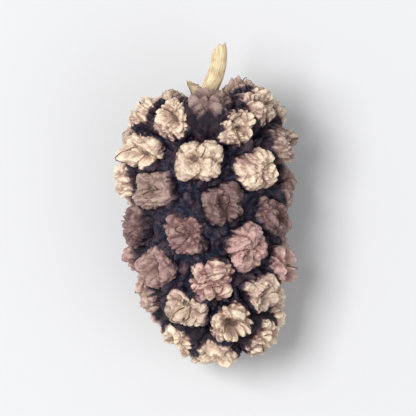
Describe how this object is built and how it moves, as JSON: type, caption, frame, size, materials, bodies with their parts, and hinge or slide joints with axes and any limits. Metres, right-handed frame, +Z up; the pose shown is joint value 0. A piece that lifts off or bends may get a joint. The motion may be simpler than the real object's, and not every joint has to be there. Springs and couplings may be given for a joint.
{
  "type": "dried mulberry",
  "caption": "Plump dried mulberry lying on its side: knobbly drupelets with hollowed, lobed caps packed over a bent oval body, and a short curved stalk at the blunt end.",
  "frame": {"origin": "on the surface that the berry rests on, under the middle of the box round fruit and stalk", "axes": "+Y along the fruit from its tip towards its stalk, +Z up, +X to the right seen from above with the stalk pointing away"},
  "size_m": [0.0104, 0.018, 0.0094],
  "materials": {
    "dried_skin": "dry wrinkled fruit skin, pale beige caps over purple-black sides, matt to satin",
    "dry_stalk": "dry straw-coloured plant stalk, fine lengthwise ridges, matt"
  },
  "bodies": {
    "root": {"fruit": "dried_skin", "stalk": "dry_stalk"}
  },
  "joints": []
}
